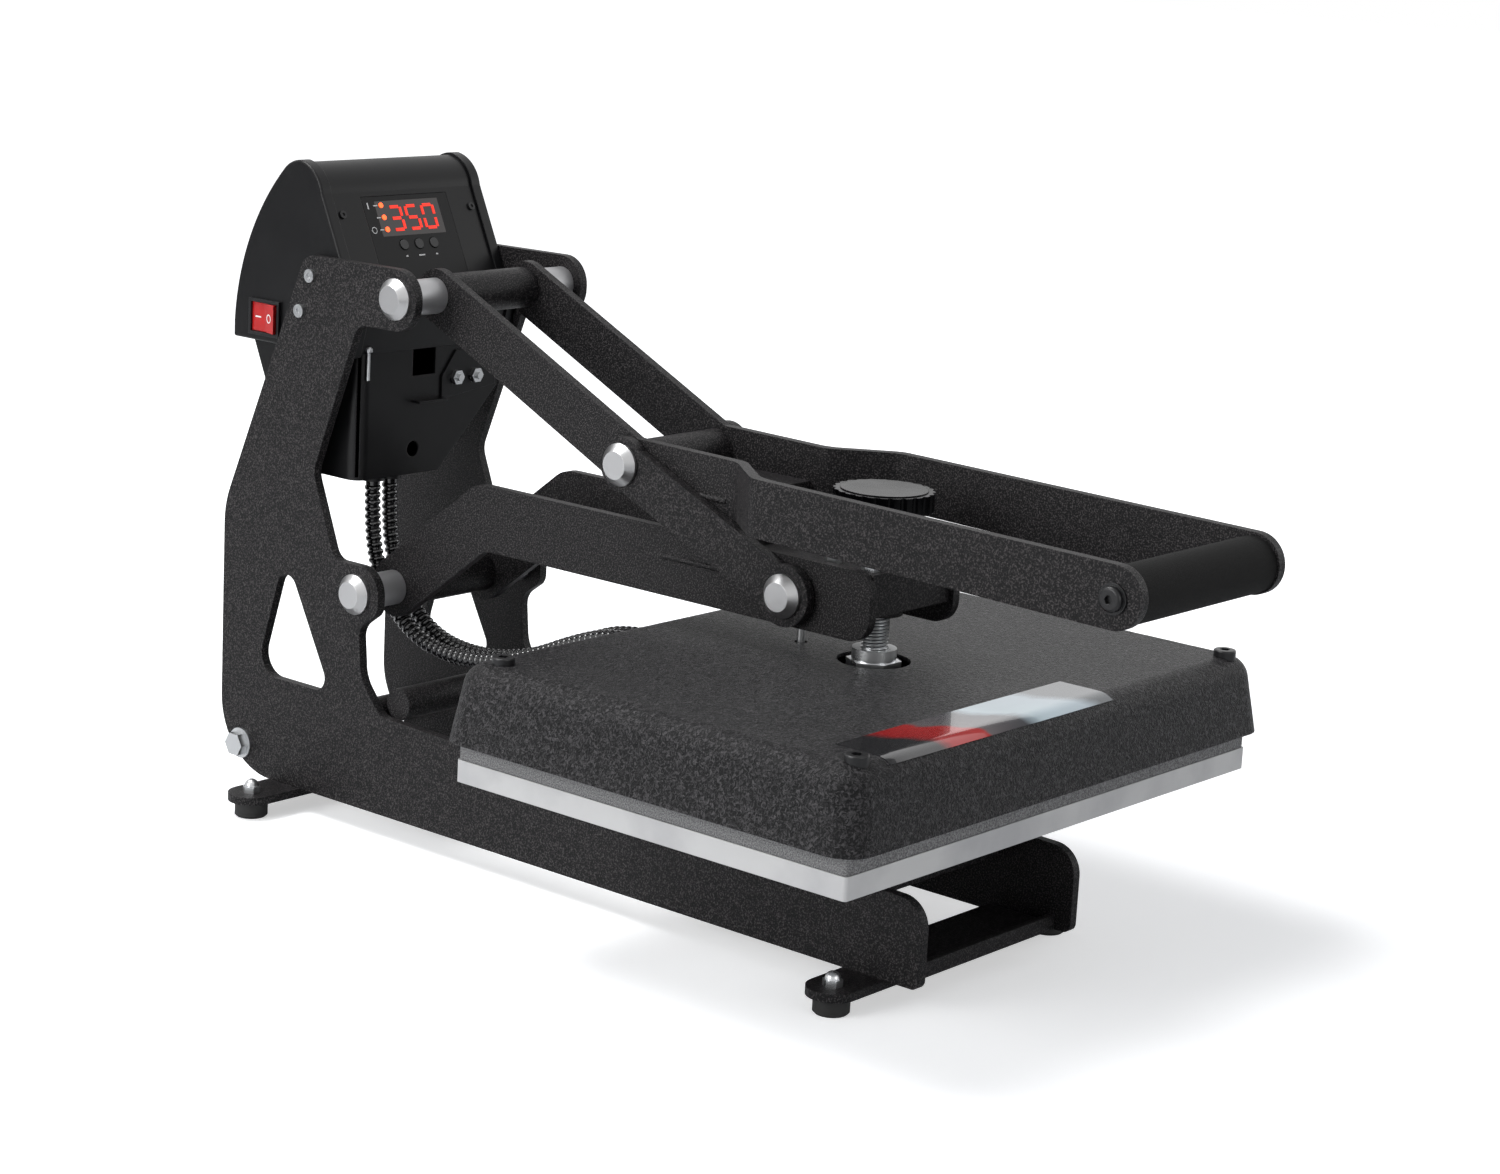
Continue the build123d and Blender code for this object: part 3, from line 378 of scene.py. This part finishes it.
# %% [markdown]
# Each carried-over solid now gets its finish. One table pairs a finish with the nodes that
# wear it, and a loop hands them out.

# %% Finishes for the solids
wears = [
    (powder, ["side_plate_left", "side_plate_right", "foot_bars", "front_cross_plate", "tie_tubes",
              "platen_supports", "arm_plate_left", "arm_plate_right", "arm_gusset", "arm_tubes",
              "front_channel", "handle_plate_left", "handle_plate_right", "handle_cross_plate",
              "handle_tubes", "links"]),
    (wrinkle, ["heater_cover"]),
    (satin, ["housing_shell", "housing_cheeks", "lower_box", "box_bracket"]),
    (glossy, ["pressure_knob", "knob_disc"]),
    (moulded, ["switch_bezel", "power_inlet", "hose_glands"]),
    (foam, ["grip"]),
    (rubber, ["rubber_feet"]),
    (black_oxide, ["panel_screws", "cover_screws", "grip_bolts"]),
    (zinc, ["guide_pin", "foot_bolts", "tie_bolts", "plate_screws", "bracket_nuts", "channel_nuts", "adjuster_collar"]),
    (turned, ["axle_caps", "knee_pins", "link_pins"]),
    (sleeve, ["axle_spacers"]),
    (steel, ["axles", "adjuster_screw"]),
    (sawn, ["lower_platen", "heat_platen", "cover_posts"]),
    (sponge, ["silicone_pad"]),
    (mineral, ["insulation_board"]),
    (board_green, ["controller_board"]),
    (film, ["display_panel"]),
    (window, ["display_window"]),
    (lit, ["display_digits"]),
    (lamp_lit, ["indicator_lamps"]),
    (key_rubber, ["button_down", "button_set", "button_up"]),
    (rocker_red, ["power_rocker"]),
    (conduit, ["heater_hose_left", "heater_hose_right"]),
]
for material, nodes in wears:
    for node in nodes:
        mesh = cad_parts[node].data
        mesh.materials.clear()
        mesh.materials.append(material)
dressed = [node for material, nodes in wears for node in nodes]
print("dressed", len(dressed), "of", len(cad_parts), "missing", set(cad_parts) - set(dressed))


# %% [markdown]
# New pieces all end alike: their normals are recalculated, the bmesh becomes an object at the
# origin, faces that meet under 40 degrees shade smoothly, and the piece rides on its body.

# %% Piece helper
def make_piece(bm, name, material, body):
    """Turn a finished bmesh into a piece of the press."""
    bmesh.ops.remove_doubles(bm, verts=bm.verts, dist=1e-6)
    bmesh.ops.recalc_face_normals(bm, faces=bm.faces)
    mesh = bpy.data.meshes.new(name)
    bm.to_mesh(mesh)
    bm.free()
    mesh.shade_smooth()
    mesh.set_sharp_from_angle(angle=math.radians(40))
    mesh.materials.append(material)
    piece = bpy.data.objects.new(name, mesh)
    bpy.context.scene.collection.objects.link(piece)
    if body:
        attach(piece, body)
    print(name, len(mesh.polygons), "faces")
    return piece


# %% [markdown]
# Two corrugated conduits carry the heater's wires. A conduit is a tube of even ribs that hangs
# in one smooth curve. Its route is a NURBS spline through given points, and the tube is
# first turned straight, rib by rib, and then laid along the points read from that spline.

# %% Corrugated hoses
hose_outer = 5.2
hose_valley = 4.1
hose_bore = 3.4
hose_pitch = 4.6
hose_x = {"left": -27.0, "right": -12.0}
hose_route = [(525, 220), (525, 187), (519, 158), (502, 133), (476, 117), (444, 113), (410, 117),
              (376, 128), (344, 143), (312, 154), (274, 154)]


def route_points(x):
    """Points along the hose's spline."""
    curve = bpy.data.curves.new("route", "CURVE")
    curve.dimensions = "3D"
    curve.resolution_u = 24
    spline = curve.splines.new("NURBS")
    spline.points.add(len(hose_route) - 1)
    for point, (y, z) in zip(spline.points, hose_route):
        point.co = (*at(x, y, z), 1)
    spline.order_u = 3
    spline.use_endpoint_u = True
    holder = bpy.data.objects.new("route", curve)
    mesh = bpy.data.meshes.new_from_object(holder)
    points = [vertex.co.copy() for vertex in mesh.vertices]
    bpy.data.objects.remove(holder)
    bpy.data.meshes.remove(mesh)
    return points


def station(points, lengths, distance):
    """Place and tangent at a distance along the points."""
    index = 1
    while index < len(points) - 1 and lengths[index] < distance:
        index += 1
    span = lengths[index] - lengths[index - 1]
    share = (distance - lengths[index - 1]) / span
    before = points[index - 1]
    after = points[index]
    return before.lerp(after, share), (after - before).normalized()


def straight_hose(length):
    """A ribbed tube along +Z, turned from its wall's outline."""
    bm = bmesh.new()
    cuff = 9 * mm
    count = int((length - 2 * cuff) / (hose_pitch * mm))
    pitch = (length - 2 * cuff) / count
    rib = [(0.0, hose_valley), (0.1, 4.75), (0.26, hose_outer), (0.5, hose_outer), (0.66, 4.75), (0.78, hose_valley)]
    outline = [(0, hose_bore), (0, hose_valley + 0.5), (cuff, hose_valley + 0.5)]
    for number in range(count):
        for share, radius in rib:
            outline.append((cuff + (number + share) * pitch, radius))
    outline += [(length - cuff, hose_valley + 0.5), (length, hose_valley + 0.5), (length, hose_bore)]
    outline += [(cuff + number * pitch, hose_bore) for number in range(count, -1, -1)]
    verts = [bm.verts.new((radius * mm, 0, distance)) for distance, radius in outline]
    edges = [bm.edges.new(pair) for pair in zip(verts, verts[1:] + verts[:1])]
    bmesh.ops.spin(bm, geom=verts + edges, cent=(0, 0, 0), axis=(0, 0, 1), angle=2 * math.pi,
                   steps=20, use_merge=True)
    return bm, count


for side, x in hose_x.items():
    points = route_points(x)
    lengths = [0.0]
    for before, after in zip(points, points[1:]):
        lengths.append(lengths[-1] + (after - before).length)
    bm, ribs = straight_hose(lengths[-1])
    across = Vector((1, 0, 0))
    for vertex in bm.verts:
        centre, tangent = station(points, lengths, vertex.co.z)
        outward = tangent.cross(across)
        vertex.co = centre + across * vertex.co.x + outward * vertex.co.y
    hose = make_piece(bm, "hose_" + side, conduit, None)
    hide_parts("heater_hose_" + side)
    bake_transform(hose)
    print("hose", side, round(lengths[-1], 4), "m", ribs, "ribs")

# %% [markdown]
# The pressure screw has a metric thread. A thread is one small ridge carried round the axis
# while it climbs, which is a spin with a step along the axis. The ridge stands on a plain core,
# whose dark colour is painted shade for the grooves between the ridges.

# %% Threaded screw
thread_radius = 7.95
thread_root = 6.7
thread_pitch = 2.0
screw_low, screw_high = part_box("adjuster_screw")
screw_y = (screw_low[1] + screw_high[1]) / 2
turns = int((screw_high[2] - screw_low[2] - 2 * mm) / (thread_pitch * mm)) - 1
steps_a_turn = 24
bm = bmesh.new()
profile = [(thread_root - 0.3, -0.9), (thread_root, -0.8), (thread_radius, -0.2), (thread_radius, 0.2),
           (thread_root, 0.8), (thread_root - 0.3, 0.9)]
first = screw_low[2] + 2.2 * mm
verts = [bm.verts.new((radius * mm, screw_y, first + height * mm)) for radius, height in profile]
edges = [bm.edges.new(pair) for pair in zip(verts, verts[1:])]
bmesh.ops.spin(bm, geom=verts + edges, cent=(0, screw_y, 0), axis=(0, 0, 1), angle=2 * math.pi * turns,
               steps=steps_a_turn * turns, dvec=(0, 0, thread_pitch * mm / steps_a_turn))
core_length = screw_high[2] - screw_low[2]
core_place = Matrix.Translation((0, screw_y, (screw_low[2] + screw_high[2]) / 2))
ridge_faces = len(bm.faces)
bmesh.ops.create_cone(bm, cap_ends=True, segments=48, radius1=thread_root * mm, radius2=thread_root * mm,
                      depth=core_length, matrix=core_place)
bm.faces.ensure_lookup_table()
# The core wears the dark metal, which paints shade into the grooves between the ridges.
for face in bm.faces[ridge_faces:]:
    face.material_index = 1
thread = make_piece(bm, "threaded_screw", plated, "adjuster")
thread.data.materials.append(root_shade_paint)
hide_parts("adjuster_screw")


# %% [markdown]
# Cross plates are slotted through the side plates and welded from outside. A weld bead is a
# row of overlapping drops, so it is a chain of flattened spheres, laid along the slot.

# %% Weld beads
def weld_bead(bm, x, start, end, width):
    """Drops along a line on a plate's side, from one (y, z) to another."""
    first = at(x, *start)
    last = at(x, *end)
    count = max(3, int((last - first).length / (width * 0.55 * mm)))
    for number in range(count + 1):
        place = first.lerp(last, number / count)
        swell = 1 + 0.12 * math.sin(number * 2.3)
        shape = Matrix.Diagonal((0.35 * width * mm, 0.6 * width * mm * swell, 0.5 * width * mm * swell, 1))
        bmesh.ops.create_uvsphere(bm, u_segments=10, v_segments=6, radius=1, matrix=Matrix.Translation(place) @ shape)


arm_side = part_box("arm_plate_right")[1][0] / mm
bm = bmesh.new()
for side in (-1, 1):
    weld_bead(bm, side * arm_side, (219, 213.6), (264, 213.6), 3.4)
make_piece(bm, "arm_welds", powder, "arm")
bm = bmesh.new()
for side in (-1, 1):
    weld_bead(bm, side * arm_side, (219, 253.8), (261, 254.2), 3.4)
make_piece(bm, "handle_welds", powder, "handle")

# %% [markdown]
# The lower box carries a slim upright latch pin on its front. A pin is a turned shape: a
# small flat head over a plain shank, spun from its outline.

# %% Latch pin
box_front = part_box("lower_box")[0][1] / mm - front_edge / mm
rod_x, rod_y = -55.0, box_front - 1.6
bm = bmesh.new()
rod = [(0, 283), (1.2, 284), (1.2, 301), (2.6, 302), (2.6, 304), (1.4, 305), (0, 305)]
centre = at(rod_x, rod_y, 0)
verts = [bm.verts.new(centre + Vector((radius * mm, 0, height * mm))) for radius, height in rod]
edges = [bm.edges.new(pair) for pair in zip(verts, verts[1:])]
bmesh.ops.spin(bm, geom=verts + edges, cent=centre, axis=(0, 0, 1), angle=2 * math.pi, steps=20, use_merge=True)
make_piece(bm, "latch_pin", zinc, "frame")

# %% [markdown]
# A glossy strip lies on the hood's front edge. It is bare of words: a dark foil that turns red
# towards its near end and pale silver-blue towards the other. The colours run along X in a
# ramp, and a little noise frays them where they meet. The sheet is a grid whose points are
# dropped onto the hood from above, so its front edge bends down with the hood's round.

# %% Trim strip
strip = finish("strip_foil", (0.02, 0.02, 0.022), 0.2, 0.2, Coat_Weight=0.7)
strip_left, strip_right = -158.0, 45.0
strip_front, strip_back = 1.5, 37.5
strip_thick = 0.3
nodes = strip.node_tree.nodes
links = strip.node_tree.links
place = nodes.new("ShaderNodeTexCoord")
slant = nodes.new("ShaderNodeMapping")
strip_tilt = math.radians(38)
slant.inputs["Rotation"].default_value = (0, 0, -strip_tilt)
strip_middle = at(0, (strip_front + strip_back) / 2, 0).y * math.sin(strip_tilt)
apart = nodes.new("ShaderNodeSeparateXYZ")
along = nodes.new("ShaderNodeMapRange")
along.inputs["From Min"].default_value = strip_left * mm * math.cos(strip_tilt) + strip_middle
along.inputs["From Max"].default_value = strip_right * mm * math.cos(strip_tilt) + strip_middle
fray = nodes.new("ShaderNodeMath")
fray.operation = "MULTIPLY_ADD"
fray.inputs[1].default_value = 0.12
ramp = nodes.new("ShaderNodeValToRGB")
colors = [(0.0, (0.018, 0.018, 0.02)), (0.22, (0.02, 0.02, 0.022)), (0.27, (0.42, 0.01, 0.012)),
          (0.41, (0.5, 0.02, 0.018)), (0.43, (0.16, 0.14, 0.145)), (0.6, (0.1, 0.1, 0.11)),
          (0.66, (0.5, 0.62, 0.68)), (0.86, (0.42, 0.5, 0.56)), (0.93, (0.09, 0.1, 0.11))]
ramp.color_ramp.elements[0].color = (*colors[0][1], 1)
ramp.color_ramp.elements[1].position = colors[-1][0]
ramp.color_ramp.elements[1].color = (*colors[-1][1], 1)
for position, color in colors[1:-1]:
    ramp.color_ramp.elements.new(position).color = (*color, 1)
links.new(place.outputs["Object"], slant.inputs["Vector"])
links.new(slant.outputs["Vector"], apart.inputs[0])
links.new(apart.outputs["X"], along.inputs["Value"])
links.new(noise(strip, 60, 3.0, (0.35, 1, 1)), fray.inputs[0])
links.new(along.outputs["Result"], fray.inputs[2])
links.new(fray.outputs[0], ramp.inputs["Fac"])
links.new(ramp.outputs["Color"], nodes["Principled BSDF"].inputs["Base Color"])

hood = BVHTree.FromObject(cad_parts["heater_cover"], bpy.context.evaluated_depsgraph_get())
bm = bmesh.new()
bmesh.ops.create_grid(bm, x_segments=24, y_segments=16, size=0.5)
for vertex in bm.verts:
    across = strip_left + (vertex.co.x + 0.5) * (strip_right - strip_left)
    along = strip_front + (vertex.co.y + 0.5) * (strip_back - strip_front)
    hit = hood.ray_cast(at(across, along, 400), Vector((0, 0, -1)))[0]
    vertex.co = hit + Vector((0, 0, 0.05 * mm))
bmesh.ops.recalc_face_normals(bm, faces=bm.faces)
bmesh.ops.solidify(bm, geom=bm.faces, thickness=-strip_thick * mm)
make_piece(bm, "trim_strip", strip, "head")


# %% [markdown]
# The housing's front slopes, so its printed marks are drawn flat and then turned onto it. The
# panel plane has its origin at the top edge, X across and Y down the slope. A thin dash stands
# beside each lamp and under each key.

# %% Panel marks
slope_down = Vector((0, -0.428, -0.904)).normalized()
slope_out = Vector((0, -0.904, 0.428)).normalized()
panel_turn = Matrix((Vector((1, 0, 0)), -slope_down, slope_out)).transposed().to_4x4()
panel_place = Matrix.Translation(at(0, 534, 397)) @ panel_turn


def panel_mark(bm, x, down, wide, tall, lift=0.06):
    """A small rounded dash on the panel."""
    shape = Matrix.Diagonal((wide * mm, tall * mm, 0.12 * mm, 1))
    place = panel_place @ Matrix.Translation((x * mm, -down * mm, lift * mm)) @ shape
    bmesh.ops.create_cube(bm, size=1, matrix=place)


def panel_ring(bm, x, down, radius, width):
    """A small ring on the panel, spun from a short edge."""
    centre = panel_place @ Vector((x * mm, -down * mm, 0.1 * mm))
    axis = panel_place.to_3x3() @ Vector((0, 0, 1))
    inner = bm.verts.new(panel_place @ Vector(((x + radius - width) * mm, -down * mm, 0.1 * mm)))
    outer = bm.verts.new(panel_place @ Vector(((x + radius) * mm, -down * mm, 0.1 * mm)))
    edge = bm.edges.new((inner, outer))
    bmesh.ops.spin(bm, geom=[inner, outer, edge], cent=centre, axis=axis, angle=2 * math.pi, steps=20, use_merge=True)


bm = bmesh.new()
for down in (9.4, 17.4, 25.4):
    panel_mark(bm, -26.5, down, 3.2, 0.7)
panel_ring(bm, -33, 25.4, 2.2, 0.5)
panel_mark(bm, -33, 9.4, 1.0, 4.2)
for x, wide in ((-11.5, 1.6), (1.5, 5.0), (14.5, 1.6)):
    panel_mark(bm, x, 43.5, wide, 0.9)
make_piece(bm, "panel_marks", white_print, "frame")

# %% [markdown]
# The rocker is marked with a dash for on and a ring for off, printed on its two tilted faces.
# The rocker leans by eight degrees, so the marks are placed on faces that lean too.

# %% Rocker marks
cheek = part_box("housing_cheeks")[0][0]
rocker_low, rocker_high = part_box("power_rocker")
rocker_y = (rocker_low[1] + rocker_high[1]) / 2
rocker_z = (rocker_low[2] + rocker_high[2]) / 2
rocker_lean = math.radians(8)
rocker_half = 11.6
face_rise = 2.4 - rocker_half * math.tan(rocker_lean) / 2
print("rocker box", [round(v / mm, 1) for v in (*rocker_low, *rocker_high)], "cheek", round(cheek / mm, 1))


def rocker_face(end):
    """Place on the rocker's front (-1) or rear (+1) face: local X up the press, Z outwards."""
    lean = Matrix.Rotation(-rocker_lean, 4, "Z")
    along = Vector((0, end, 0))
    slope = Matrix.Rotation(end * rocker_lean, 4, "Z")
    middle = Vector((-face_rise * mm - 0.05 * mm, end * rocker_half / 2 * mm, 0))
    flat = Matrix((Vector((0, 0, 1)), Vector((0, -1, 0)), Vector((-1, 0, 0)))).transposed().to_4x4()
    pivot = Matrix.Translation((cheek, rocker_y, rocker_z))
    return pivot @ lean @ Matrix.Translation(middle) @ slope @ flat


bm = bmesh.new()
dash = Matrix.Diagonal((0.9 * mm, 5.2 * mm, 0.2 * mm, 1))
bmesh.ops.create_cube(bm, size=1, matrix=rocker_face(1) @ dash)
ring = rocker_face(-1)
rim = [bm.verts.new(ring @ Vector((radius * mm, 0, 0))) for radius in (2.1, 2.9)]
edge = bm.edges.new(rim)
bmesh.ops.spin(bm, geom=rim + [edge], cent=ring.translation, axis=ring.to_3x3() @ Vector((0, 0, 1)),
               angle=2 * math.pi, steps=24, use_merge=True)
make_piece(bm, "rocker_marks", white_print, "rocker")
